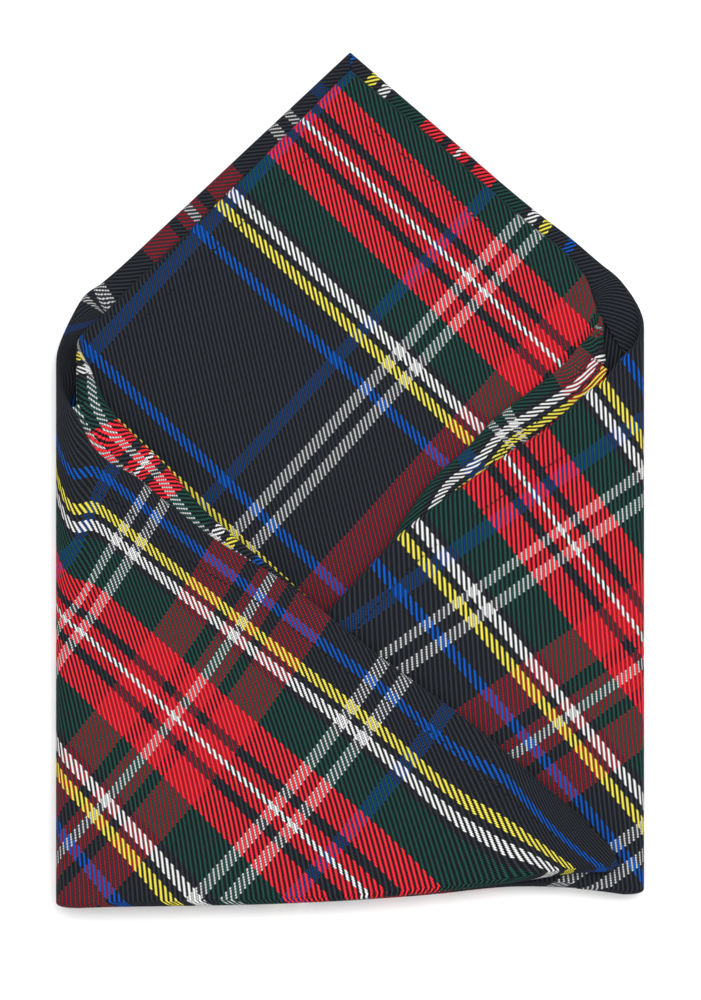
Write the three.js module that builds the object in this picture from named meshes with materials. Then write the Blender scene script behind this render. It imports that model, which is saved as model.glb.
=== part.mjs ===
// A hemmed square of tartan cloth, folded into a pocket square and lying flat.
// The square is folded once across its diagonal, which gives a back layer and a front layer
// joined by the bottom fold. The right corner is then folded over the front, and the left
// corner over that. Each corner is two layers deep, so each flap has an inner layer, which
// belongs to the front, and an outer layer, which belongs to the back.
// Millimetres, +Z up, +Y towards the point of the fold. The origin is the middle of the
// underside of the folded square's box.

import * as THREE from "three";

// Driving dimensions
const CLOTH = 0.5;             // thickness of one layer of the cloth
const GAP = 0.3;               // air between two layers that lie on each other
const ROLL = 1.0;              // air inside the right flap's inner crease, which isn't pressed flat
const FOLDED_WIDTH = 160.8;    // crease to crease
const FOLDED_HEIGHT = 233.4;   // bottom fold to the back layer's point, half the square's diagonal
const HEM_WIDTH = 8.3;         // the turned edge
const THREAD = 0.4;            // thickness of the row of hem stitches
const SIDE_CLEARANCE = 0.4;    // between a panel and the crease or fold that continues it
const ARC_STEPS = 16;          // facets in each half-round crease

// Heights of the undersides of the layers, from the bottom up
const BACK = 0;
const BACK_HEM = BACK + CLOTH + GAP;
const FRONT_HEM = BACK_HEM + CLOTH + GAP;
const FRONT = FRONT_HEM + CLOTH + GAP;
const RIGHT_INNER = FRONT + CLOTH + ROLL;
const RIGHT_INNER_HEM = RIGHT_INNER + CLOTH + GAP;
const RIGHT_OUTER_HEM = RIGHT_INNER_HEM + CLOTH + GAP;
const RIGHT_OUTER = RIGHT_OUTER_HEM + CLOTH + GAP;
const LEFT_INNER = RIGHT_OUTER + CLOTH + GAP;
const LEFT_INNER_HEM = LEFT_INNER + CLOTH + GAP;
const LEFT_OUTER_HEM = LEFT_INNER_HEM + CLOTH + GAP;
const LEFT_OUTER = LEFT_OUTER_HEM + CLOTH + GAP;

// A half-round fold of the cloth between two layers: its middle height and its two radii
function foldBetween(lowerLayer, upperLayer) {
  const outerRadius = (upperLayer + CLOTH - lowerLayer) / 2;
  return {
    low: lowerLayer,
    height: lowerLayer + outerRadius,
    outerRadius,
    innerRadius: outerRadius - CLOTH,
  };
}

const leftOuterFold = foldBetween(BACK, LEFT_OUTER);
const leftInnerFold = foldBetween(FRONT, LEFT_INNER);
const rightOuterFold = foldBetween(BACK, RIGHT_OUTER);
const rightInnerFold = foldBetween(FRONT, RIGHT_INNER);
const bottomFold = foldBetween(BACK, FRONT);
const leftFlapFold = foldBetween(LEFT_INNER, LEFT_OUTER);
const rightFlapFold = foldBetween(RIGHT_INNER, RIGHT_OUTER);

// Where each layer stops and its crease begins
const LEFT_OUTER_X = -FOLDED_WIDTH / 2 + leftOuterFold.outerRadius;
const LEFT_INNER_X = -71.5;
const RIGHT_OUTER_X = FOLDED_WIDTH / 2 - rightOuterFold.outerRadius;
const RIGHT_INNER_X = 72.5;
const BOTTOM_Y = bottomFold.outerRadius + SIDE_CLEARANCE;

// The free, hemmed edges as [x, y] points from left to right, y counted from the bottom fold
const backLeftEdge = [[LEFT_OUTER_X, 162.5], [0, FOLDED_HEIGHT]];
const backRightEdge = [[0, FOLDED_HEIGHT], [62.9, 182], [RIGHT_OUTER_X, 168.5]];
const frontLeftEdge = [[LEFT_INNER_X, 153], [0, 228.5]];
const frontRightEdge = [[0, 228.5], [RIGHT_INNER_X, 163.8]];
const leftOuterEdge = [[LEFT_OUTER_X, 135], [76.6, 8]];
const leftInnerEdge = [[LEFT_INNER_X, 143], [74, 6]];
const rightOuterEdge = [[-70, 11.2], [16.4, 102], [RIGHT_OUTER_X, 152]];
const rightInnerEdge = [[-70, 12.3], [16.4, 105], [RIGHT_INNER_X, 155]];

const wool = { roughness: 0.9, metalness: 0 };
const blackThread = { color: 0x15171a, roughness: 0.8, metalness: 0 };
const tones = {
  panel: { color: 0x43191f, ...wool },
  flap: { color: 0x5c1c24, ...wool },
  crease: { color: 0x2b2f33, ...wool },
  hem: { color: 0x1f3a33, ...wool },
};

const square = new THREE.Group();
square.position.y = -FOLDED_HEIGHT / 2;

function addPiece(name, geometry, tone) {
  const mesh = new THREE.Mesh(geometry, new THREE.MeshStandardMaterial(tone));
  mesh.name = name;
  square.add(mesh);
  return mesh;
}

// A flat layer of cloth with the given outline, its underside at the given height
function addLayer(name, outline, height, thickness, tone) {
  const shape = new THREE.Shape(outline.map(([x, y]) => new THREE.Vector2(x, y)));
  const geometry = new THREE.ExtrudeGeometry(shape, { depth: thickness, bevelEnabled: false });
  addPiece(name, geometry, tone).position.z = height;
}

// The height of a hemmed edge at x, by straight lines between its points
function edgeHeight(edge, x) {
  const next = Math.max(1, edge.findIndex(([pointX]) => pointX >= x));
  const [fromX, fromY] = edge[next - 1];
  const [toX, toY] = edge[next];
  return fromY + ((x - fromX) * (toY - fromY)) / (toX - fromX);
}

// Where along a falling edge its height comes down to the given value
function edgeReach(edge, height) {
  const [[nearX, nearY], [farX, farY]] = edge[0][1] < edge[1][1] ? edge : [edge.at(-1), edge.at(-2)];
  return nearX + ((height - nearY) * (farX - nearX)) / (farY - nearY);
}

// The outline of a strip along a hemmed edge, between two distances inwards from the edge
function stripOutline(edge, nearInset, farInset, fromX, toX) {
  const [firstX, firstY] = edge[0];
  const [lastX, lastY] = edge.at(-1);
  const slope = (lastY - firstY) / (lastX - firstX);
  const inwards = Math.hypot(1, slope);
  const bends = edge.map(([x]) => x).filter((x) => x > fromX && x < toX);
  const stations = [fromX, ...bends, toX];
  const outer = stations.map((x) => [x, edgeHeight(edge, x) - nearInset * inwards]);
  const inner = stations.map((x) => [x, edgeHeight(edge, x) - farInset * inwards]);
  return [...inner, ...outer.reverse()];
}

// A turned hem and the row of stitches along its inner side
function addHem(name, edge, height, fromX, toX) {
  const hem = stripOutline(edge, 0, HEM_WIDTH, fromX, toX);
  const seamStart = HEM_WIDTH + THREAD;
  const stitches = stripOutline(edge, seamStart, seamStart + THREAD, fromX, toX);
  addLayer(`${name}_hem`, hem, height, CLOTH, tones.hem);
  addLayer(`${name}_stitching`, stitches, height, THREAD, blackThread);
}

// The section of a half-round fold that bulges to the left or to the right
function foldSection(fold, centre, bulgesLeft) {
  const start = bulgesLeft ? Math.PI / 2 : -Math.PI / 2;
  const end = start + Math.PI;
  const shape = new THREE.Shape();
  shape.absarc(centre, fold.height, fold.outerRadius, start, end, false);
  shape.absarc(centre, fold.height, fold.innerRadius, end, start, true);
  return shape;
}

// A fold that runs along X, such as the one at the bottom
function addBottomFold(name, fold, fromX, toX) {
  const section = foldSection(fold, BOTTOM_Y - SIDE_CLEARANCE, true);
  const geometry = new THREE.ExtrudeGeometry(section, {
    depth: toX - fromX,
    bevelEnabled: false,
    curveSegments: ARC_STEPS,
  });
  const alongX = new THREE.Matrix4().makeBasis(
    new THREE.Vector3(0, 1, 0),
    new THREE.Vector3(0, 0, 1),
    new THREE.Vector3(1, 0, 0),
  );
  geometry.applyMatrix4(alongX.setPosition(fromX, 0, 0));
  addPiece(name, geometry, tones.crease);
}

// A crease that runs along Y. Its free end slants from the lower layer's edge to the upper one's.
function addSideCrease(name, fold, centre, bulgesLeft, lowerTop, upperTop) {
  const section = foldSection(fold, centre, bulgesLeft);
  const geometry = new THREE.ExtrudeGeometry(section, {
    depth: 1,
    bevelEnabled: false,
    curveSegments: ARC_STEPS,
  });
  const alongY = new THREE.Matrix4().makeBasis(
    new THREE.Vector3(1, 0, 0),
    new THREE.Vector3(0, 0, 1),
    new THREE.Vector3(0, -1, 0),
  );
  geometry.applyMatrix4(alongY);
  const position = geometry.getAttribute("position");
  for (let i = 0; i < position.count; i += 1) {
    const share = (position.getZ(i) - fold.low) / (2 * fold.outerRadius);
    const top = lowerTop + share * (upperTop - lowerTop);
    position.setY(i, position.getY(i) > -0.5 ? top : BOTTOM_Y);
  }
  geometry.computeVertexNormals();
  addPiece(name, geometry, tones.crease);
}

// The two layers that lie still, and the fold between them
function addBody() {
  const sideX = LEFT_OUTER_X + SIDE_CLEARANCE;
  const farX = RIGHT_OUTER_X - SIDE_CLEARANCE;
  addLayer("back_panel", [
    [sideX, BOTTOM_Y],
    [farX, BOTTOM_Y],
    [farX, edgeHeight(backRightEdge, farX)],
    backRightEdge[1],
    backRightEdge[0],
    [sideX, edgeHeight(backLeftEdge, sideX)],
  ], BACK, CLOTH, tones.panel);
  const innerLeftX = LEFT_INNER_X + SIDE_CLEARANCE;
  const innerRightX = RIGHT_INNER_X - SIDE_CLEARANCE;
  addLayer("front_panel", [
    [innerLeftX, BOTTOM_Y],
    [innerRightX, BOTTOM_Y],
    [innerRightX, edgeHeight(frontRightEdge, innerRightX)],
    frontRightEdge[0],
    [innerLeftX, edgeHeight(frontLeftEdge, innerLeftX)],
  ], FRONT, CLOTH, tones.panel);
  addBottomFold("bottom_fold", bottomFold, sideX, innerRightX - 1);
  addHem("back_left", backLeftEdge, BACK_HEM, sideX, -GAP / 2);
  addHem("back_right", backRightEdge, BACK_HEM, GAP / 2, farX);
  addHem("front_left", frontLeftEdge, FRONT_HEM, innerLeftX, -GAP / 2);
  addHem("front_right", frontRightEdge, FRONT_HEM, GAP / 2, innerRightX);
}

function addCreases() {
  addSideCrease("left_outer_crease", leftOuterFold, LEFT_OUTER_X, true,
    backLeftEdge[0][1], leftOuterEdge[0][1]);
  addSideCrease("left_inner_crease", leftInnerFold, LEFT_INNER_X, true,
    frontLeftEdge[0][1], leftInnerEdge[0][1]);
  addSideCrease("right_outer_crease", rightOuterFold, RIGHT_OUTER_X, false,
    backRightEdge.at(-1)[1], rightOuterEdge.at(-1)[1]);
  addSideCrease("right_inner_crease", rightInnerFold, RIGHT_INNER_X, false,
    frontRightEdge.at(-1)[1], rightInnerEdge.at(-1)[1]);
}

// One layer of a flap, from its crease to its tip, with its hem
function addFlapLayer(name, edge, creaseX, height, hemHeight) {
  const towardsTip = creaseX < 0 ? 1 : -1;
  const nearX = creaseX + towardsTip * SIDE_CLEARANCE;
  const tip = creaseX < 0 ? edge.at(-1) : edge[0];
  const outline = [
    [nearX, BOTTOM_Y],
    [nearX, edgeHeight(edge, nearX)],
    ...edge.filter(([x]) => Math.abs(x - tip[0]) > 1 && Math.abs(x - creaseX) > 1),
    tip,
    [tip[0], BOTTOM_Y],
  ];
  addLayer(`${name}_flap`, outline, height, CLOTH, tones.flap);
  const hemFoot = (HEM_WIDTH + 2 * THREAD) * Math.SQRT2 + BOTTOM_Y;
  const tipX = edgeReach(edge, hemFoot);
  addHem(name, edge, hemHeight, Math.min(nearX, tipX), Math.max(nearX, tipX));
}

function addRightFlap() {
  addFlapLayer("right_inner", rightInnerEdge, RIGHT_INNER_X, RIGHT_INNER, RIGHT_INNER_HEM);
  addFlapLayer("right_outer", rightOuterEdge, RIGHT_OUTER_X, RIGHT_OUTER, RIGHT_OUTER_HEM);
  addBottomFold("right_flap_bottom_fold", rightFlapFold, -68, RIGHT_OUTER_X - 1);
}

function addLeftFlap() {
  addFlapLayer("left_inner", leftInnerEdge, LEFT_INNER_X, LEFT_INNER, LEFT_INNER_HEM);
  addFlapLayer("left_outer", leftOuterEdge, LEFT_OUTER_X, LEFT_OUTER, LEFT_OUTER_HEM);
  addBottomFold("left_flap_bottom_fold", leftFlapFold, LEFT_OUTER_X + 1, 72);
}

addBody();
addCreases();
addRightFlap();
addLeftFlap();

export default square;
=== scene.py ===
"""A hemmed tartan square folded into a pocket square, lying flat on a white floor.

The cloth is built as one surface at a time: each layer, crease and fold is a grid of points on
the middle of the cloth, which is then given the cloth's thickness. Every point also carries its
place in the flat square, so that the tartan runs through the folds as it does in woven cloth.
Lengths are in millimetres until a mesh is made. x is to the right, y is counted from the bottom
fold, and z is the height over the floor.
"""

import math
import random

import bpy
import numpy as np
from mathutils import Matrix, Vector


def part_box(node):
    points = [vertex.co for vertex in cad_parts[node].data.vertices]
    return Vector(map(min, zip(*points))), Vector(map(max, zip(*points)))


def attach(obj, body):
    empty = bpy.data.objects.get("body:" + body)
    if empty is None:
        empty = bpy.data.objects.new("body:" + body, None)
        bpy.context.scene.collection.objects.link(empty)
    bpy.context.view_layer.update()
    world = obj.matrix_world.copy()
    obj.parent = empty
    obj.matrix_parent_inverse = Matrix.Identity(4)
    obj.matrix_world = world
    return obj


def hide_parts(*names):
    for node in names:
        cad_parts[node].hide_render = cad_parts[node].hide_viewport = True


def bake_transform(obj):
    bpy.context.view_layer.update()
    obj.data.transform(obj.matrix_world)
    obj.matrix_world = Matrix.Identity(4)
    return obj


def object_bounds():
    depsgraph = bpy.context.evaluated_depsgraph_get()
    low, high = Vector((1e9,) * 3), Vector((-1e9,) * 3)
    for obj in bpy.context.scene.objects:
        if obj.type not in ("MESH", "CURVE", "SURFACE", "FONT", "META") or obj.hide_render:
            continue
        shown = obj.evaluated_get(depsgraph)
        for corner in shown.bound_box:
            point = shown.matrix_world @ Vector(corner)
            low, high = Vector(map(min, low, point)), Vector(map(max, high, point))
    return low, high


MM = 0.001
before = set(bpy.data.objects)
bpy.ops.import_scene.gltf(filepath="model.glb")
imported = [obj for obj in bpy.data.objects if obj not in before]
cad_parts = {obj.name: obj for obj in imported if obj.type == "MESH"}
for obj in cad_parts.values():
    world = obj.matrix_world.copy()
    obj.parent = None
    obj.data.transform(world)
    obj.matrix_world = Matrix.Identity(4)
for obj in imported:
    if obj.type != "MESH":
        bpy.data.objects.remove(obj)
cad_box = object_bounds()
BOTTOM = cad_box[0].y / MM


def layer_height(node):
    low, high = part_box(node)
    return (low.z + high.z) / 2 / MM


# Heights of the middle of each layer of cloth
BACK = layer_height("back_panel")
BACK_HEM = layer_height("back_left_hem")
FRONT_HEM = layer_height("front_left_hem")
FRONT = layer_height("front_panel")
RIGHT_INNER = layer_height("right_inner_flap")
RIGHT_INNER_HEM = layer_height("right_inner_hem")
RIGHT_OUTER_HEM = layer_height("right_outer_hem")
RIGHT_OUTER = layer_height("right_outer_flap")
LEFT_INNER = layer_height("left_inner_flap")
LEFT_INNER_HEM = layer_height("left_inner_hem")
LEFT_OUTER_HEM = layer_height("left_outer_hem")
LEFT_OUTER = layer_height("left_outer_flap")

# The cloth
CLOTH = 0.5             # thickness
HEM_DEPTH = 10.4        # width of the turned edge
HEM_TURN = 0.4          # radius of the turn, on the middle of the cloth
HEM_INSET = HEM_TURN + CLOTH / 2
TURNED_CLOTH = 4.2      # cloth rolled into the turn
HEM_SPREAD = 1.1        # how much of the tartan's width goes into each millimetre of a turned edge
RIGHT_INNER_SPREAD = 1.35
TIP_ROOM = 0.7          # a hem is no wider than this share of its layer, towards a flap's tip
MITRE = 1.38            # nor than this many times its distance from the square's point
HEM_FROM_TIP = 9.0      # a flap's hem ends this far from its tip
STITCHES_FROM_POINT = 8.0  # and the stitches this far from the square's points
HEM_ROWS = 20           # rows of points on the turned edge, after the turn itself
TURN_ROWS = 9           # rows of points round the turn
SEAM_INSET = 8.75       # the row of stitches, from the edge
STITCH_PITCH = 1.6
STITCH_LENGTH = 1.2
STITCH_WIDTH = 0.42
STITCH_HEIGHT = 0.2
STITCH_DIP = 0.16       # how far a stitch's ends go down into the cloth
STITCH_STANDS = 0.02    # height of a stitch's middle over the cloth
STITCH_SLANT = 0.9      # the hem's own face shows its row this much nearer the edge
STITCH_RINGS = 7        # rings of points along a stitch
STITCH_SIDES = 8        # points in each ring
FOLD_RADIUS = (FRONT - BACK) / 2
SEAM_DIP = 0.22         # the single cloth beyond a hem lies this much lower than the hem
SAG = 0.9               # how far an upper layer sinks where no other lies under it
UNEVENNESS = 0.045      # the cloth's swell, as a share of its height over the floor

# Where the flat layers meet the side creases
LEFT_SEAM = -68.0
RIGHT_SEAM = 62.0
GATHERED = 3.0          # how much narrower a hem gets where it goes round a loop's outside
CREASE_HEIGHT = 175.0   # cloth up a crease
CREASE_HEM_EASE = 2.0   # and across it, beyond the loop's own length, for the slant of its hem
PULL_BETWEEN = (118, 158)  # heights between which a loop's rim draws it in
LATE_BETWEEN = (112, 146)  # and between which the tartan's change moves round the loop

# Spacing of the points
GRID = 1.5              # on a layer
FOLD_ROWS = 15          # round a bottom fold
CREASE_COLUMNS = 61     # round a side crease
CREASE_ROWS = 90        # up a side crease
CREASE_BOTTOM_ROWS = 8  # round the bottom of a side crease

# The free edges, as (x, y) points from left to right
BACK_POINT = (0, 233.4)
FRONT_POINT = (0, 228.5)
BACK_LEFT_EDGE = [(-73.6, 165.8), (-66.8, 171.2), (-50, 186.6), (-25, 210), BACK_POINT]
BACK_RIGHT_EDGE = [BACK_POINT, (25, 211.9), (49.8, 190.7), (62, 181.2), (68.4, 175.7), (73.9, 171)]
FRONT_LEFT_EDGE = [(-72, 156.5), (-66.8, 162.4), (-45, 183.6), (-20, 208.3), FRONT_POINT]
FRONT_RIGHT_EDGE = [FRONT_POINT, (27, 206), (52, 184.1), (58.3, 179.2), (62, 175.2), (64, 172.5)]
RIGHT_INNER_EDGE = [
    (-70, 10), (-30, 50), (0, 83), (8, 94.5), (15, 106), (22.7, 116.6), (31.7, 124.8),
    (38.3, 131.9), (48.2, 139.8), (54.4, 144.6), (59.1, 148.6), (64.6, 155.6), (67.6, 157.6),
]
RIGHT_OUTER_EDGE = [
    (-70, 12), (-30, 54), (0, 87), (13.7, 101.6), (21.9, 108.3), (30.1, 114.4), (36.4, 118.9),
    (45.4, 125.2), (53.6, 130.2), (58.8, 134.9), (64.8, 140.6), (69.8, 144.2), (73, 148.3),
]
LEFT_INNER_EDGE = [
    (-72, 152.6), (-69.5, 143.6), (-64.3, 134), (-58.8, 128.3), (-50.6, 120.5), (-40, 108.3),
    (-30.6, 100), (-17, 88.8), (-6, 79.2), (6, 67.8), (35, 42), (72, 12),
]
LEFT_OUTER_EDGE = [
    (-74.2, 133.2), (-70.9, 126.4), (-65.7, 121.2), (-59.6, 117.9), (-50.3, 110.5),
    (-37.5, 100.6), (-17, 87.9), (-6, 79.4), (5, 70.6), (35.6, 47.9), (55, 31.3), (68, 20),
    (72, 16), (74.2, 11),
]

# The lowest points of the bottom folds
ROOT_BOTTOM = [
    (-76, -0.6), (-64, -0.3), (-43, 0), (-14, 0.5), (20, 2.6), (46, 5), (64, 4.4), (78, 3),
]
LEFT_FLAP_BOTTOM = [
    (-76, -0.6), (-64, -0.3), (-43, 0), (-14, 0.8), (20, 3.4), (46, 6.6), (60, 8.8), (77, 9.4),
]
RIGHT_FLAP_BOTTOM = [(-70, 8), (-30, 4.5), (0, 3), (20, 3), (46, 5.2), (64, 4.6), (78, 3.2)]

# The tartan: widths of its stripes in threads, from one turning point to the next
WARP_PITCH = 0.352
WEFT_PITCH = 0.517
WARP_STRIPES = [
    ("white", 1.6), ("red", 7.9), ("black", 7), ("red", 21), ("green", 32), ("black", 5),
    ("white", 8), ("black", 5), ("yellow", 8), ("black", 18), ("blue", 8), ("black", 60),
]
WEFT_STRIPES = [
    ("white", 2), ("red", 6), ("black", 6), ("red", 20), ("black", 28), ("white", 6),
    ("black", 6), ("white", 6), ("black", 15), ("blue", 7), ("black", 45.5),
]
WARP_TURN = 16.9        # a white turning point of the warp stripes, from the square's middle
WEFT_TURN = 94.3        # and of the weft stripes

WARP_COLOURS = {
    "black": (0.027, 0.031, 0.039),
    "white": (0.76, 0.76, 0.76),
    "red": (0.82, 0.026, 0.040),
    "green": (0.014, 0.060, 0.048),
    "yellow": (0.76, 0.66, 0.080),
    "blue": (0.006, 0.085, 0.41),
}
# The weft's colours are the warp's yarns painted darker, as painted shade on the weft, which lies lower
# between the warp threads. The white is not darkened.
SHADED_WEFT_COLOURS = {
    "black": (0.014, 0.016, 0.021),
    "white": (0.76, 0.76, 0.76),
    "red": (0.46, 0.016, 0.028),
    "blue": (0.004, 0.060, 0.28),
}
WEFT_DEPTH = 0.8        # how much lower the weft lies, as a share of a thread's rise
WEFT_BRIGHTER = 0.3     # and how much of the painted shade from lying lower is given back to the weft
THREAD_CROWN = 0.7      # how much higher a thread's middle is than its sides
SHADE_GAIN = 0.7        # painted shade: a thread's colour darkens where it lies low and lightens on its crown
SHADE_START = -0.1
SHADE_RANGE = (0.08, 1.1)


def smooth_curve(points, at):
    """y at the given x on a smooth curve through the points."""
    xs, ys = np.array(points, float).T
    slopes = np.gradient(ys, xs)
    at = np.asarray(at, float)
    left = np.clip(np.searchsorted(xs, at) - 1, 0, len(xs) - 2)
    width = xs[left + 1] - xs[left]
    u = (at - xs[left]) / width
    rise = (2 * u**3 - 3 * u**2 + 1) * ys[left] + (3 * u**2 - 2 * u**3) * ys[left + 1]
    lean = (u**3 - 2 * u**2 + u) * slopes[left] + (u**3 - u**2) * slopes[left + 1]
    return rise + lean * width


def smooth_step(value, start, end):
    u = np.clip((value - start) / (end - start), 0, 1)
    return u * u * (3 - 2 * u)


# The tartan's place on each layer: s runs across the warp threads and t across the weft
def back_weave(x, y):
    right, left = math.radians(39), math.radians(43)
    down = BACK_POINT[1] - y
    along_right = x * math.cos(right) + down * math.sin(right)
    along_left = -x * math.cos(left) + down * math.sin(left)
    return -110.9 + 1.05 * (along_right - 40.6), 94.3 - 1.055 * (along_left - 61.6)


def front_weave(x, y):
    s = (x + y + 2.9) / math.sqrt(2)
    t = (x - y - 2.9) / math.sqrt(2)
    moved = 1.39 + 0.044 * (s - 115) - 0.0187 * (t + 110) - 0.00027 * (t + 110) ** 2
    return s - 0.027 * (t + 165.5), t + moved


def right_inner_weave(x, y):
    return (138.3 - x + y) / math.sqrt(2), (144.2 - x - y) / math.sqrt(2)


def right_outer_weave(x, y):
    s = 117.3 - 0.575 * x - 0.608 * y - 0.0012 * x * x - 0.0006 * x * y + 0.00026 * y * y
    t = 86.9 - 0.535 * x + 0.761 * y
    return s, t


def left_inner_weave(x, y):
    return -111 + 0.72 * (y - x), (-162.4 - x - y) / math.sqrt(2)


def left_outer_weave(x, y):
    y = y + 6 * np.exp(-((x + 76) / 4.5) ** 2) * smooth_step(y, 70, 105)
    y = y + 2.6 * np.exp(-((x - 28) / 14) ** 2)
    s = -106.4 - 0.544 * x - 0.571 * y + 0.00075 * x * x - 0.00092 * x * y - 0.0019 * y * y
    t = -120.9 - 0.625 * x + 0.573 * y + 0.0005 * x * x - 0.00156 * x * y - 0.00066 * y * y
    s = s + 1.3 * (s + 143.1) * smooth_step(x, 40, 66)
    return s, t


def settle(points):
    """The cloth's gentle unevenness, and its sag where no other layer lies under it."""
    x, y, z = points[..., 0], points[..., 1], points[..., 2]
    swell = np.sin(x / 9.5 + y / 17 + 1.1) * 0.4 + np.sin(x / 21 - y / 12.5 + 0.4) * 0.6
    swell = swell + np.sin(x / 5.6 - y / 7.9) * 0.16
    near = np.clip(x, RIGHT_OUTER_EDGE[0][0], RIGHT_OUTER_EDGE[-1][0])
    beyond = y - smooth_curve(RIGHT_OUTER_EDGE, near)
    loose = smooth_step(beyond, 2, 20) * smooth_step(z, FRONT, LEFT_OUTER)
    settled = points.copy()
    settled[..., 2] = z * (1 + UNEVENNESS * swell) - SAG * loose
    return settled


def grid_normals(points):
    across = np.gradient(points, axis=1)
    along = np.gradient(points, axis=0)
    normals = np.cross(across, along)
    lengths = np.linalg.norm(normals, axis=2, keepdims=True)
    return normals / np.maximum(lengths, 1e-9)


def grid_faces(rows, columns):
    """Faces of a closed sheet: its upper and lower sides and its four rims."""
    index = np.arange(rows * columns).reshape(rows, columns)
    under = index + rows * columns
    upper = np.stack([index[:-1, :-1], index[:-1, 1:], index[1:, 1:], index[1:, :-1]], -1)
    lower = np.stack([under[:-1, :-1], under[1:, :-1], under[1:, 1:], under[:-1, 1:]], -1)
    first = np.stack([index[0, :-1], under[0, :-1], under[0, 1:], index[0, 1:]], -1)
    last = np.stack([index[-1, :-1], index[-1, 1:], under[-1, 1:], under[-1, :-1]], -1)
    start = np.stack([index[:-1, 0], index[1:, 0], under[1:, 0], under[:-1, 0]], -1)
    end = np.stack([index[:-1, -1], under[:-1, -1], under[1:, -1], index[1:, -1]], -1)
    sides = np.concatenate([upper.reshape(-1, 4), lower.reshape(-1, 4)])
    rims = np.concatenate([first, last, start, end])
    return sides, rims


def mesh_object(name, points, faces, material):
    mesh = bpy.data.meshes.new(name)
    placed = (points + np.array([0, BOTTOM, 0])) * MM
    mesh.from_pydata(placed.tolist(), [], faces.tolist())
    mesh.materials.append(material)
    piece = bpy.data.objects.new(name, mesh)
    bpy.context.scene.collection.objects.link(piece)
    return piece


def cloth_piece(name, centre, weave):
    """A sheet of cloth on a grid of centre points, with the tartan's place at each. It stands
    for the CAD node of the same name."""
    rows, columns = centre.shape[:2]
    centre = settle(centre)
    offset = grid_normals(centre) * CLOTH / 2
    points = np.concatenate([(centre + offset).reshape(-1, 3), (centre - offset).reshape(-1, 3)])
    sides, rims = grid_faces(rows, columns)
    piece = mesh_object(name, points, np.concatenate([sides, rims]), TARTAN)
    smooth = np.concatenate([np.ones(len(sides), bool), np.zeros(len(rims), bool)])
    piece.data.polygons.foreach_set("use_smooth", smooth)
    piece.data.set_sharp_from_angle(angle=math.radians(50))
    place = np.zeros((2 * rows * columns, 3), np.float32)
    place[:, :2] = np.tile(weave.reshape(-1, 2), (2, 1))
    attribute = piece.data.attributes.new("cloth", "FLOAT_VECTOR", "POINT")
    attribute.data.foreach_set("vector", place.ravel())
    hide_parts(name)
    return piece


def sheet_area(centre):
    """The area of a grid of points, in square millimetres."""
    diagonals = np.cross(centre[1:, 1:] - centre[:-1, :-1], centre[1:, :-1] - centre[:-1, 1:])
    return float(np.linalg.norm(diagonals, axis=2).sum() / 2)


def declare_sheet(centre, size):
    area = min(sheet_area(centre), size[0] * size[1]) * MM * MM


def inward(edge, xs):
    """The edge's points at the given x, and the directions from them into the cloth."""
    ys = smooth_curve(edge, xs)
    step = 0.6
    low, high = edge[0][0], edge[-1][0]
    before = np.clip(xs - step, low, high)
    after = np.clip(xs + step, low, high)
    slope = (smooth_curve(edge, after) - smooth_curve(edge, before)) / (after - before)
    direction = np.stack([slope, -np.ones_like(slope)], -1)
    return ys, direction / np.linalg.norm(direction, axis=1, keepdims=True)


def hem_distance(x, y, edges):
    """How far a point lies from the nearest of the free edges."""
    distances = []
    for edge in edges:
        near = np.clip(x, edge[0][0], edge[-1][0])
        ys, direction = inward(edge, near.ravel())
        drop = (ys.reshape(x.shape) - y) * -direction[:, 1].reshape(x.shape)
        distances.append(np.where((x >= edge[0][0]) & (x <= edge[-1][0]), drop, 99))
    return np.minimum.reduce(distances)


def panel_grid(edges, bottom, start, end, height):
    """The centre points of a flat layer, from its bottom fold up to its free edges."""
    count = int((end - start) / GRID) + 1
    xs = np.linspace(start, end, count)
    if len(edges) == 2:
        xs[np.argmin(np.abs(xs))] = 0.0
    tops = np.zeros((count, 2))
    for edge in edges:
        inside = (xs >= edge[0][0] - 0.01) & (xs <= edge[-1][0] + 0.01)
        ys, direction = inward(edge, xs[inside])
        tops[inside] = np.stack([xs[inside], ys], -1) + direction * HEM_INSET
    if len(edges) == 2:
        apex = np.argmin(np.abs(xs))
        tops[apex] = (0, edges[0][-1][1] - HEM_INSET * math.sqrt(2))
    lows = np.stack([xs, smooth_curve(bottom, xs) + FOLD_RADIUS + CLOTH / 2], -1)
    rows = int(np.max(tops[:, 1] - lows[:, 1]) / GRID)
    rise = np.linspace(0, 1, rows)[:, None, None]
    plan = lows + (tops - lows) * rise
    heights = np.full(plan.shape[:2] + (1,), height)
    return np.concatenate([plan, heights], -1)


def hem_rows(surface, towards_hem, depth, weave_at, spread):
    """A turned edge: round the turn, then back along the cloth. surface and towards_hem give
    the cloth's points and its hem side at a distance from the edge. weave_at gives the
    tartan's place there, and beyond the edge where the distance is negative."""
    points = []
    weave = []
    for angle in np.linspace(0, math.pi, TURN_ROWS):
        out = np.full(len(depth), HEM_INSET - HEM_TURN * math.sin(angle))
        up = HEM_TURN * (1 - math.cos(angle))
        points.append(surface(out) + towards_hem(out) * up)
        weave.append(weave_at(np.full(len(depth), HEM_INSET - TURNED_CLOTH * angle / math.pi)))
    for share in np.linspace(0, 1, HEM_ROWS + 1)[1:]:
        back = (depth - HEM_INSET) * share
        points.append(surface(HEM_INSET + back) + towards_hem(HEM_INSET + back) * 2 * HEM_TURN)
        weave.append(weave_at(HEM_INSET - TURNED_CLOTH - spread * back))
    return np.stack(points), np.stack(weave)


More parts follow.
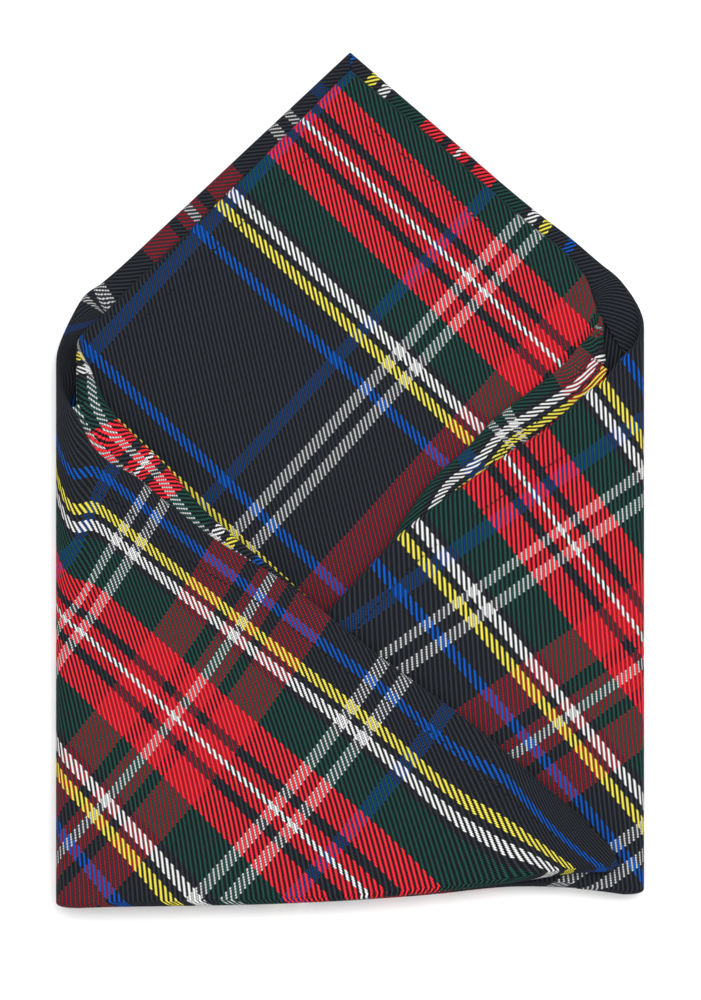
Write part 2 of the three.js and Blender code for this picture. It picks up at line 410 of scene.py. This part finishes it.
def panel_hem(name, edge, bottom, heights, weave, run, pointed, spread=HEM_SPREAD):
    """The hem of one run of a layer's edge. heights are the layer's and its hem's. It narrows
    towards a flap's tip, and where the layer ends in a point it is mitred there."""
    height, hem_height = heights
    start, end = run
    xs = np.linspace(start, end, int(abs(end - start)) + 2)
    ys, direction = inward(edge, xs)
    count = len(xs)
    edge_points = np.stack([xs, ys, np.full(count, height)], -1)
    into = np.concatenate([direction, np.zeros((count, 1))], 1)
    side = np.zeros((count, 3))
    side[:, 2] = math.copysign(1, hem_height - height)
    depth = np.full(count, HEM_DEPTH)
    room = (ys - smooth_curve(bottom, xs)) * TIP_ROOM - 1
    depth = np.minimum(depth, np.maximum(room, HEM_INSET + 0.1))
    if pointed:
        depth = np.minimum(depth, np.maximum(np.abs(xs) * MITRE, HEM_INSET + 0.05))

    def surface(distance):
        return edge_points + into * distance[:, None]

    def weave_at(distance):
        plan = surface(distance)
        return np.stack(weave(plan[:, 0], plan[:, 1]), -1)

    centre, places = hem_rows(surface, lambda distance: side, depth, weave_at, spread)
    if side[0, 2] > 0:
        centre, places = centre[::-1], places[::-1]
    return cloth_piece(name, centre, places)


def stitch_points(edge, start, end, inset, height):
    """Where a row of stitches sits along an edge, and which way each one points."""
    xs = np.linspace(start, end, 400)
    ys, direction = inward(edge, xs)
    line = np.stack([xs, ys], -1) + direction * inset
    lengths = np.concatenate([[0], np.cumsum(np.linalg.norm(np.diff(line, axis=0), axis=1))])
    stations = np.arange(STITCH_PITCH / 2, lengths[-1], STITCH_PITCH)
    x = np.interp(stations, lengths, line[:, 0])
    y = np.interp(stations, lengths, line[:, 1])
    points = np.stack([x, y, np.full(len(x), height)], -1)
    points = settle(points)
    ahead = np.gradient(points, axis=0)
    return points, ahead / np.linalg.norm(ahead, axis=1, keepdims=True)


def stitch_shape():
    """One stitch: a short thread that dips into the cloth at both ends."""
    rings = []
    for share in np.linspace(-1, 1, STITCH_RINGS):
        width = math.sqrt(max(1 - share**4, 0.02))
        ring = []
        for angle in np.linspace(0, 2 * math.pi, STITCH_SIDES + 1)[:-1]:
            across = math.cos(angle) * STITCH_WIDTH / 2 * width
            up = math.sin(angle) * STITCH_HEIGHT / 2 * width - STITCH_DIP * share**4
            ring.append((share * STITCH_LENGTH / 2, across, up))
        rings.append(ring)
    return np.array(rings)


def stitch_faces():
    faces = []
    for ring in range(STITCH_RINGS - 1):
        for side in range(STITCH_SIDES):
            a = ring * STITCH_SIDES + side
            b = ring * STITCH_SIDES + (side + 1) % STITCH_SIDES
            faces.append((a, a + STITCH_SIDES, b + STITCH_SIDES, b))
    return faces


def cap_faces(ring):
    """Three quads that close a ring of eight points."""
    return [ring[:4], [ring[0], ring[3], ring[4], ring[7]], ring[4:]]


def stitching(name, rows):
    """A seam's stitches. Each row is (points, directions, +1 on an upper face or -1 on a lower)."""
    rng = random.Random(name)
    shape = stitch_shape()
    points = []
    faces = []
    for places, aheads, face in rows:
        for place, ahead in zip(places, aheads):
            turn = math.radians(rng.uniform(-9, 9))
            side = np.cross([0, 0, 1], ahead)
            forward = ahead * math.cos(turn) + side * math.sin(turn)
            side = np.cross([0, 0, 1], forward)
            first = len(points) * STITCH_RINGS * STITCH_SIDES
            stretch = rng.uniform(0.85, 1.1)
            local = shape * np.array([stretch, 1, face])
            made = place + local @ np.stack([forward, side, [0, 0, 1]])
            points.append(made.reshape(-1, 3))
            for a, b, c, d in stitch_faces():
                quad = (a, b, c, d) if face > 0 else (d, c, b, a)
                faces.append([first + i for i in quad])
            last = first + (STITCH_RINGS - 1) * STITCH_SIDES
            heel = list(range(first, first + STITCH_SIDES))
            tip = list(range(last, last + STITCH_SIDES))
            for cap in (heel, tip[::-1]) if face > 0 else (heel[::-1], tip):
                faces.extend(cap_faces(cap))
    points = np.concatenate(points)
    piece = mesh_object(name, points, np.array(faces), STITCH_THREAD)
    piece.data.polygons.foreach_set("use_smooth", [True] * len(piece.data.polygons))
    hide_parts(name)
    return piece


def seam(name, edge, run, heights):
    """The stitches of one hem, on the cloth's outer face and on the hem's own face."""
    start, end = run
    panel_height, hem_height = heights
    towards = math.copysign(1, hem_height - panel_height)
    hem_face = hem_height + towards * (CLOTH / 2 + STITCH_STANDS)
    panel_face = panel_height - towards * (CLOTH / 2 + STITCH_STANDS)
    on_hem = stitch_points(edge, start, end, SEAM_INSET - STITCH_SLANT, hem_face)
    on_panel = stitch_points(edge, start, end, SEAM_INSET, panel_face)
    return stitching(name, [(*on_hem, towards), (*on_panel, -towards)])


def bottom_fold(name, bottom, start, end, low, high, low_weave, high_weave):
    """The rounded fold along the bottom that joins a lower layer to an upper one."""
    xs = np.linspace(start, end, int((end - start) / GRID) + 1)
    lowest = smooth_curve(bottom, xs)
    radius = (high - low) / 2
    middle = lowest + FOLD_RADIUS + CLOTH / 2
    points = []
    weave = []
    for angle in np.linspace(-math.pi / 2, math.pi / 2, FOLD_ROWS):
        y = middle - radius * math.cos(angle)
        z = np.full(len(xs), (low + high) / 2 + radius * math.sin(angle))
        share = (angle + math.pi / 2) / math.pi
        lower = np.stack(low_weave(xs, middle), -1)
        upper = np.stack(high_weave(xs, middle), -1)
        points.append(np.stack([xs, y, z], -1))
        weave.append(lower + (upper - lower) * share)
    return cloth_piece(name, np.stack(points)[::-1], np.stack(weave)[::-1])


def rim_of(points, low_edge, high_edge, seam_x):
    """A crease's rim by share of the way round, tied at both ends to the layers' edges."""
    first = (0.0, float(smooth_curve(low_edge, seam_x)))
    last = (1.0, float(smooth_curve(high_edge, seam_x)))
    return [first, *points, last]


class SideCrease:
    """A loop of cloth at one side, from a lower layer's seam round to an upper layer's seam.

    A share of the way round is 0 at the lower seam and 1 at the upper one. Each pair of layers,
    weaves and edges is the lower one's and then the upper one's. turn_x is where the round part
    begins, and pull is how much nearer that is at the rim. rim gives heights by share. change is
    the two shares between which the tartan changes over, and late is added to them at the rim.
    """

    def __init__(self, seam_x, turn_x, layers, weaves, edges, rim, change, hem_inside, pull=0.0,
                 late=0.0, spread=HEM_SPREAD):
        self.seam_x = seam_x
        self.turn_x = turn_x
        self.side = math.copysign(1, turn_x)
        self.low, self.high = layers
        self.low_weave, self.high_weave = weaves
        self.edges = edges
        self.rim = rim_of(rim, *edges, seam_x)
        self.change = change
        self.hem_inside = hem_inside
        self.pull = pull
        self.late = late
        self.spread = spread
        self.radius = (self.high - self.low) / 2
        straight = abs(turn_x - seam_x)
        self.length = 2 * straight + math.pi * self.radius
        self.flat_share = straight / self.length

    def angle(self, shares):
        """The angle round the turn, from -90 degrees at its lower side to 90 at its upper one."""
        flat = self.flat_share
        return (np.clip((shares - flat) / (1 - 2 * flat), 0, 1) - 0.5) * math.pi

    def turn_at(self, y):
        """Where the round part begins at a height."""
        return self.turn_x - self.side * self.pull * smooth_step(y, *PULL_BETWEEN)

    def scale(self, shares, y):
        """The length of cloth to one share: as it is beside the turn, and as it is in the turn."""
        beside = np.abs(self.turn_at(y) - self.seam_x) / self.flat_share
        turning = smooth_step(np.abs(shares - 0.5), 0.56 - self.flat_share, 0.5 - self.flat_share)
        return beside + (self.length - beside) * turning

    def place(self, shares, y):
        """The cloth's point at a share of the way round and y up the crease."""
        turn_x = self.turn_at(y)
        angle = self.angle(shares)
        near = np.minimum(np.minimum(shares, 1 - shares) / self.flat_share, 1)
        x = self.seam_x + (turn_x - self.seam_x) * near
        x = x + self.side * self.radius * np.cos(angle)
        z = (self.low + self.high) / 2 + self.radius * np.sin(angle)
        return np.stack([x, y, z], -1)

    def hem_side(self, shares):
        """The direction from the cloth to the side that its hem is turned to."""
        angle = self.angle(shares)
        outward = np.stack([self.side * np.cos(angle), np.zeros_like(angle), np.sin(angle)], -1)
        return -outward if self.hem_inside else outward

    def weave(self, shares, y):
        """The tartan runs on from both layers, and changes over where it shows least."""
        straight = np.abs(self.turn_at(y) - self.seam_x)
        around = self.radius * (self.angle(shares) + math.pi / 2)
        before = straight * np.minimum(shares / self.flat_share, 1)
        after = straight * np.minimum((1 - shares) / self.flat_share, 1)
        lower_x = self.seam_x + self.side * (before + around + straight - after)
        upper_x = self.seam_x + self.side * (straight - before + math.pi * self.radius - around + after)
        lower = np.stack(self.low_weave(lower_x, y), -1)
        upper = np.stack(self.high_weave(upper_x, y), -1)
        start, end = self.change
        later = self.late * smooth_step(y, *LATE_BETWEEN)
        share = smooth_step(shares - later, start, end)[..., None]
        return lower + (upper - lower) * share


def crease_hem(crease, shares, rims):
    """The crease's rim, with its hem turned to the side that the layers' hems are on."""
    scale = crease.scale(shares, rims)
    across = np.concatenate([[0], np.cumsum(np.diff(shares) * (scale[1:] + scale[:-1]) / 2)])
    run = np.stack([across, rims], -1)
    ahead = np.gradient(run, axis=0)
    into = np.stack([ahead[:, 1], -ahead[:, 0]], -1)
    into = into / np.linalg.norm(into, axis=1, keepdims=True)
    near_low = 1 - smooth_step(shares, 0, 0.1)
    near_high = smooth_step(shares, 0.9, 1)
    low_into, high_into = (inward(edge, np.array([crease.seam_x]))[1][0] for edge in crease.edges)
    into = into + (low_into * (crease.side, 1) - into) * near_low[:, None]
    into = into + (high_into * (-crease.side, 1) - into) * near_high[:, None]
    into = into / np.linalg.norm(into, axis=1, keepdims=True)

    def inset(distance):
        return shares + into[:, 0] * distance / scale, rims + into[:, 1] * distance

    def surface(distance):
        return crease.place(*inset(distance))

    def towards(distance):
        return crease.hem_side(inset(distance)[0])

    def weave_at(distance):
        return crease.weave(*inset(distance))

    gathered = 0 if crease.hem_inside else GATHERED
    depth = HEM_DEPTH - gathered * np.sin(math.pi * shares)
    centre, weave = hem_rows(surface, towards, depth, weave_at, crease.spread)
    top_shares, top = inset(np.full(len(shares), HEM_INSET))
    return centre, weave, top_shares, top


def crease_piece(name, crease, partner, bottom):
    """A side crease with its hemmed rim, closed at the bottom against the loop beside it."""
    shares = np.linspace(0, 1, CREASE_COLUMNS)
    rims = smooth_curve(crease.rim, shares)
    hem, hem_weave, top_shares, top = crease_hem(crease, shares, rims)
    at_bottom = crease.place(shares, np.zeros(CREASE_COLUMNS))[:, 0]
    low = smooth_curve(bottom, np.clip(at_bottom, bottom[0][0], bottom[-1][0]))
    low = low + FOLD_RADIUS + CLOTH / 2
    points = []
    weave = []
    for angle in np.linspace(math.pi / 2, 0, CREASE_BOTTOM_ROWS + 1)[:-1]:
        y = low - FOLD_RADIUS * math.sin(angle)
        own = crease.place(shares, y)
        beside = partner.place(shares, y)
        points.append(own + (beside - own) * 0.5 * (1 - math.cos(angle)))
        weave.append(crease.weave(shares, y - FOLD_RADIUS * angle))
    for rise in np.linspace(0, 1, CREASE_ROWS):
        y = low + (top - low) * rise
        across = shares + (top_shares - shares) * rise
        points.append(crease.place(across, y))
        weave.append(crease.weave(across, y))
    centre = np.concatenate([np.stack(points), hem[1:]])
    places = np.concatenate([np.stack(weave), hem_weave[1:]])
    if crease.side < 0:
        centre, places = centre[:, ::-1], places[:, ::-1]
    piece = cloth_piece(name, centre, places)
    declare_sheet(centre, (crease.length + CREASE_HEM_EASE, CREASE_HEIGHT))
    return piece


def panel(name, edges, bottom, run, height, hem_side, weave, seams):
    """A flat layer of cloth. It lies a little lower beyond its hem than over it."""
    centre = panel_grid(edges, bottom, *run, height)
    x, y = centre[..., 0], centre[..., 1]
    places = np.stack(weave(x, y), -1)
    distance = hem_distance(x, y, edges)
    clear = np.ones_like(x)
    for seam_x in seams:
        clear = clear * smooth_step(np.abs(x - seam_x), 0, 6)
    beyond_hem = smooth_step(distance, HEM_DEPTH - 0.8, HEM_DEPTH + 1.2)
    centre[..., 2] += hem_side * SEAM_DIP * clear * beyond_hem
    piece = cloth_piece(name, centre, places)
    size = (float(np.ptp(x)), float(np.ptp(y)))
    declare_sheet(centre, size)
    return piece


# Materials
class NodeMaker:
    """Shorthand for building a material's nodes."""

    def __init__(self, name):
        self.material = bpy.data.materials.new(name)
        self.material.use_nodes = True
        self.tree = self.material.node_tree
        self.shader = self.tree.nodes["Principled BSDF"]

    def add(self, kind, **settings):
        node = self.tree.nodes.new(kind)
        for key, value in settings.items():
            setattr(node, key, value)
        return node

    def feed(self, socket, value):
        if isinstance(value, bpy.types.NodeSocket):
            self.tree.links.new(value, socket)
        else:
            socket.default_value = value

    def math(self, operation, *values):
        node = self.add("ShaderNodeMath", operation=operation)
        for socket, value in zip(node.inputs, values):
            self.feed(socket, value)
        return node.outputs[0]

    def mix(self, factor, first, second, blend="MIX"):
        node = self.add("ShaderNodeMix", data_type="RGBA", blend_type=blend)
        self.feed(node.inputs["Factor"], factor)
        self.feed(node.inputs[6], first)
        self.feed(node.inputs[7], second)
        return node.outputs[2]

    def noise(self, vector, scale, detail=2.0):
        node = self.add("ShaderNodeTexNoise")
        self.feed(node.inputs["Vector"], vector)
        node.inputs["Scale"].default_value = scale
        node.inputs["Detail"].default_value = detail
        return node.outputs["Fac"]


def stripe_colours(make, thread, turn, stripes, colours):
    """The colour of a thread by its number: the stripes run out and back between turning points."""
    half = sum(width for _, width in stripes)
    centred = make.math("SUBTRACT", make.math("ADD", thread, 0.5), turn)
    share = make.math("DIVIDE", make.math("PINGPONG", centred, half), half)
    ramp = make.add("ShaderNodeValToRGB")
    ramp.color_ramp.interpolation = "CONSTANT"
    elements = ramp.color_ramp.elements
    reached = 0.0
    for index, (colour, width) in enumerate(stripes):
        if index == 0:
            element = elements[0]
            element.position = 0.0
        elif index == 1:
            element = elements[1]
            element.position = reached / half
        else:
            element = elements.new(reached / half)
        element.color = (*colours[colour], 1)
        reached += width
    make.feed(ramp.inputs["Fac"], share)
    return ramp.outputs["Color"]


def thread_round(make, place):
    """A thread's rounded section: 1 on its middle and 0 at its sides."""
    offset = make.math("MULTIPLY_ADD", make.math("FRACT", place), 2.0, -1.0)
    return make.math("SUBTRACT", 1.0, make.math("MULTIPLY", offset, offset))


def thread_rise(make, along, number, peak):
    """How a thread rises over two threads and dips under two in a 2/2 twill."""
    phase = make.math("FLOORED_MODULO", make.math("ADD", along, number), 4.0)
    angle = make.math("MULTIPLY", make.math("SUBTRACT", phase, peak), math.pi / 2)
    return make.math("COSINE", angle)


def tartan_material():
    make = NodeMaker("tartan_wool")
    place = make.add("ShaderNodeAttribute", attribute_name="cloth")
    apart = make.add("ShaderNodeSeparateXYZ")
    make.feed(apart.inputs[0], place.outputs["Vector"])
    drift = make.noise(place.outputs["Vector"], 0.35, 3.0)
    wander = make.math("MULTIPLY", make.math("SUBTRACT", drift, 0.5), 0.5)
    warp = make.math("DIVIDE", make.math("ADD", apart.outputs[0], wander), WARP_PITCH)
    weft = make.math("DIVIDE", make.math("SUBTRACT", apart.outputs[1], wander), WEFT_PITCH)
    warp_number = make.math("FLOOR", warp)
    weft_number = make.math("FLOOR", weft)
    warp_turn, weft_turn = WARP_TURN / WARP_PITCH, WEFT_TURN / WEFT_PITCH
    warp_colour = stripe_colours(make, warp_number, warp_turn, WARP_STRIPES, WARP_COLOURS)
    shaded_weft_colour = stripe_colours(make, weft_number, weft_turn, WEFT_STRIPES, SHADED_WEFT_COLOURS)
    warp_round = thread_round(make, warp)
    weft_round = thread_round(make, weft)
    warp_rise = thread_rise(make, weft, warp_number, 1.0)
    weft_rise = thread_rise(make, warp, weft_number, 3.0)
    warp_height = make.math("MULTIPLY_ADD", warp_round, THREAD_CROWN, warp_rise)
    weft_lies = make.math("SUBTRACT", weft_rise, WEFT_DEPTH)
    weft_height = make.math("MULTIPLY_ADD", weft_round, THREAD_CROWN, weft_lies)
    warp_shows = make.math("GREATER_THAN", warp_height, weft_height)
    height = make.math("MAXIMUM", warp_height, weft_height)
    colour = make.mix(warp_shows, shaded_weft_colour, warp_colour)
    fibres = make.noise(place.outputs["Vector"], 5.0, 2.0)
    # Painted shade: each thread's colour is darkened where it lies low, between threads and at the ends
    # of its floats, and lightened on its crown. The fibres' noise varies it at random.
    lift = make.math("MULTIPLY", make.math("SUBTRACT", 1.0, warp_shows), WEFT_BRIGHTER)
    lit = make.math("MULTIPLY_ADD", make.math("ADD", height, lift), SHADE_GAIN, SHADE_START)
    lit = make.math("MULTIPLY", lit, make.math("MULTIPLY_ADD", fibres, 0.5, 0.75))
    lit = make.math("MINIMUM", make.math("MAXIMUM", lit, SHADE_RANGE[0]), SHADE_RANGE[1])
    shade = make.add("ShaderNodeCombineColor")
    for socket in shade.inputs:
        make.feed(socket, lit)
    make.feed(make.shader.inputs["Base Color"], make.mix(1.0, colour, shade.outputs[0], "MULTIPLY"))
    bump = make.add("ShaderNodeBump")
    bump.inputs["Strength"].default_value = 0.55
    bump.inputs["Distance"].default_value = 0.12 * MM
    make.feed(bump.inputs["Height"], height)
    make.feed(make.shader.inputs["Normal"], bump.outputs["Normal"])
    make.shader.inputs["Roughness"].default_value = 0.85
    make.shader.inputs["Specular IOR Level"].default_value = 0.06
    make.shader.inputs["Sheen Weight"].default_value = 0.015
    make.shader.inputs["Sheen Roughness"].default_value = 0.5
    return make.material


def stitch_material():
    make = NodeMaker("sewing_thread")
    coordinates = make.add("ShaderNodeTexCoord").outputs["Object"]
    twist = make.noise(coordinates, 6000.0, 2.0)
    colour = make.mix(twist, (0.004, 0.004, 0.005, 1), (0.016, 0.017, 0.020, 1))
    make.feed(make.shader.inputs["Base Color"], colour)
    make.shader.inputs["Roughness"].default_value = 0.9
    make.shader.inputs["Specular IOR Level"].default_value = 0.05
    return make.material


def floor_material():
    make = NodeMaker("white_floor")
    make.shader.inputs["Base Color"].default_value = (0.93, 0.93, 0.93, 1)
    make.shader.inputs["Roughness"].default_value = 0.9
    make.shader.inputs["Specular IOR Level"].default_value = 0.1
    return make.material


TARTAN = tartan_material()
STITCH_THREAD = stitch_material()


LEFT_OUTER_LOOP = SideCrease(
    LEFT_SEAM, -75.4, (BACK, LEFT_OUTER), (back_weave, left_outer_weave),
    (BACK_LEFT_EDGE, LEFT_OUTER_EDGE),
    [(0.19, 165.6), (0.27, 161.5), (0.4, 154.5), (0.5, 149.5), (0.62, 141), (0.72, 136.5),
     (0.82, 131.6), (0.9, 126.6)],
    change=(0.1, 0.5), hem_inside=True, late=0.3)
LEFT_INNER_LOOP = SideCrease(
    LEFT_SEAM, -71.5, (FRONT, LEFT_INNER), (front_weave, left_inner_weave),
    (FRONT_LEFT_EDGE, LEFT_INNER_EDGE),
    [(0.25, 158.2), (0.5, 153.5), (0.75, 148)],
    change=(0.35, 0.7), hem_inside=False)
RIGHT_OUTER_LOOP = SideCrease(
    RIGHT_SEAM, 77.0, (BACK, RIGHT_OUTER), (back_weave, right_outer_weave),
    (BACK_RIGHT_EDGE, RIGHT_OUTER_EDGE),
    [(0.16, 175.7), (0.3, 171), (0.39, 166.3), (0.5, 159.5), (0.58, 154.5), (0.65, 151.4),
     (0.73, 148.2), (0.8, 144.4), (0.93, 140.4)],
    change=(0.1, 0.5), hem_inside=True, late=0.15)
RIGHT_INNER_LOOP = SideCrease(
    RIGHT_SEAM, 72.5, (FRONT, RIGHT_INNER), (front_weave, right_inner_weave),
    (FRONT_RIGHT_EDGE, RIGHT_INNER_EDGE),
    [(0.25, 170.5), (0.42, 164), (0.5, 160.5), (0.62, 157.6)],
    change=(0.1, 0.9), hem_inside=False, pull=5.0, spread=RIGHT_INNER_SPREAD)


def pointed_hems(layer, left_edge, right_edge, heights, weave):
    """The hems and stitches on both sides of a layer's point."""
    left, right = (LEFT_SEAM, 0), (0, RIGHT_SEAM)
    return [
        panel_hem(f"{layer}_left_hem", left_edge, ROOT_BOTTOM, heights, weave, left, True),
        panel_hem(f"{layer}_right_hem", right_edge, ROOT_BOTTOM, heights, weave, right, True),
        seam(f"{layer}_left_stitching", left_edge, (LEFT_SEAM, -STITCHES_FROM_POINT), heights),
        seam(f"{layer}_right_stitching", right_edge, (STITCHES_FROM_POINT, RIGHT_SEAM), heights),
    ]


def make_body():
    """The two layers that lie still, with their hems and the bottom fold between them."""
    seams = [LEFT_SEAM, RIGHT_SEAM]
    back_edges = [BACK_LEFT_EDGE, BACK_RIGHT_EDGE]
    back_extras = pointed_hems("back", *back_edges, (BACK, BACK_HEM), back_weave)
    back_extras.append(bottom_fold("bottom_fold", ROOT_BOTTOM, LEFT_SEAM, RIGHT_SEAM, BACK, FRONT,
                                   back_weave, front_weave))
    back = panel("back_panel", back_edges, ROOT_BOTTOM, seams, BACK, 0, back_weave, seams)
    front_edges = [FRONT_LEFT_EDGE, FRONT_RIGHT_EDGE]
    front_extras = pointed_hems("front", *front_edges, (FRONT, FRONT_HEM), front_weave)
    front = panel("front_panel", front_edges, ROOT_BOTTOM, seams, FRONT, -1, front_weave,
                  seams)
    for piece in (*back_extras, back, *front_extras, front):
        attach(piece, "root")


def make_flap_layer(body, edge, bottom, seam_x, tip_x, heights, weave, spread=HEM_SPREAD):
    """One layer of a flap, with its hem and stitches. Its pieces are named after its body."""
    height, hem_height = heights
    run = sorted((seam_x, tip_x))
    hem_tip = tip_x - math.copysign(HEM_FROM_TIP, tip_x - seam_x)
    hem_start, hem_end = sorted((seam_x, hem_tip))
    extras = [
        panel_hem(f"{body}_hem", edge, bottom, heights, weave, (hem_start, hem_end), False, spread),
        seam(f"{body}_stitching", edge, (hem_start + 1, hem_end - 3), heights),
    ]
    hem_side = math.copysign(1, hem_height - height)
    piece = panel(f"{body}_flap", [edge], bottom, run, height, hem_side, weave, [seam_x])
    for made in (*extras, piece):
        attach(made, body)


def make_right_flap():
    make_flap_layer("right_inner", RIGHT_INNER_EDGE, RIGHT_FLAP_BOTTOM, RIGHT_SEAM, -69,
                    (RIGHT_INNER, RIGHT_INNER_HEM), right_inner_weave, RIGHT_INNER_SPREAD)
    make_flap_layer("right_outer", RIGHT_OUTER_EDGE, RIGHT_FLAP_BOTTOM, RIGHT_SEAM, -69,
                    (RIGHT_OUTER, RIGHT_OUTER_HEM), right_outer_weave)
    fold = bottom_fold("right_flap_bottom_fold", RIGHT_FLAP_BOTTOM, -69, RIGHT_SEAM, RIGHT_INNER,
                       RIGHT_OUTER, right_inner_weave, right_outer_weave)
    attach(fold, "right_outer")


def make_left_flap():
    make_flap_layer("left_inner", LEFT_INNER_EDGE, LEFT_FLAP_BOTTOM, LEFT_SEAM, 71,
                    (LEFT_INNER, LEFT_INNER_HEM), left_inner_weave)
    make_flap_layer("left_outer", LEFT_OUTER_EDGE, LEFT_FLAP_BOTTOM, LEFT_SEAM, 74,
                    (LEFT_OUTER, LEFT_OUTER_HEM), left_outer_weave)
    fold = bottom_fold("left_flap_bottom_fold", LEFT_FLAP_BOTTOM, LEFT_SEAM, 72, LEFT_INNER,
                       LEFT_OUTER, left_inner_weave, left_outer_weave)
    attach(fold, "left_outer")


def blend_left_crease(piece):
    """Bakes the crease's placement into its mesh."""
    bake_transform(piece)


def blend_right_crease(piece):
    """As on the left, it bakes the crease's placement into its mesh; the right one turns the other way.
    """
    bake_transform(piece)


def make_creases():
    outer = crease_piece("left_outer_crease", LEFT_OUTER_LOOP, LEFT_INNER_LOOP, ROOT_BOTTOM)
    inner = crease_piece("left_inner_crease", LEFT_INNER_LOOP, LEFT_OUTER_LOOP, ROOT_BOTTOM)
    blend_left_crease(outer)
    blend_left_crease(inner)
    outer = crease_piece("right_outer_crease", RIGHT_OUTER_LOOP, RIGHT_INNER_LOOP, ROOT_BOTTOM)
    inner = crease_piece("right_inner_crease", RIGHT_INNER_LOOP, RIGHT_OUTER_LOOP, ROOT_BOTTOM)
    blend_right_crease(outer)
    blend_right_crease(inner)


def make_floor():
    bpy.ops.mesh.primitive_plane_add(size=4, location=(0, 0, -0.0002))
    floor = bpy.context.object
    floor.name = "floor"
    floor.data.materials.append(floor_material())


def make_light():
    world = bpy.data.worlds.new("studio")
    world.use_nodes = True
    background = world.node_tree.nodes["Background"]
    background.inputs["Color"].default_value = (1.0, 1.0, 1.0, 1)
    background.inputs["Strength"].default_value = 0.85
    bpy.context.scene.world = world
    for name, place, size, power in (
        ("key_light", (0.35, 0.4, 0.95), 0.9, 9.5),
        ("fill_light", (-0.4, 0.1, 1.0), 0.9, 4.0),
    ):
        light = bpy.data.lights.new(name, "AREA")
        light.size = size
        light.energy = power
        lamp = bpy.data.objects.new(name, light)
        lamp.location = place
        lamp.rotation_euler = (-Vector(place)).to_track_quat("-Z", "Y").to_euler()
        bpy.context.scene.collection.objects.link(lamp)


VIEW_HEIGHT = 273.6     # the height that the picture takes in
VIEW_DISTANCE = 2500.0
VIEW_CENTRE = (0.1, 110.8)


def make_camera():
    """Straight above, looking down."""
    camera = bpy.data.cameras.new("camera")
    camera.sensor_width = 36.0
    camera.lens = 36.0 * VIEW_DISTANCE / VIEW_HEIGHT
    camera.clip_end = 10
    holder = bpy.data.objects.new("camera", camera)
    x, y = VIEW_CENTRE
    holder.location = (x * MM, (y + BOTTOM) * MM, (VIEW_DISTANCE + FRONT) * MM)
    bpy.context.scene.collection.objects.link(holder)
    bpy.context.scene.camera = holder
    bpy.context.scene.view_settings.view_transform = "Standard"


make_floor()
make_body()
make_right_flap()
make_left_flap()
make_creases()
make_light()
make_camera()
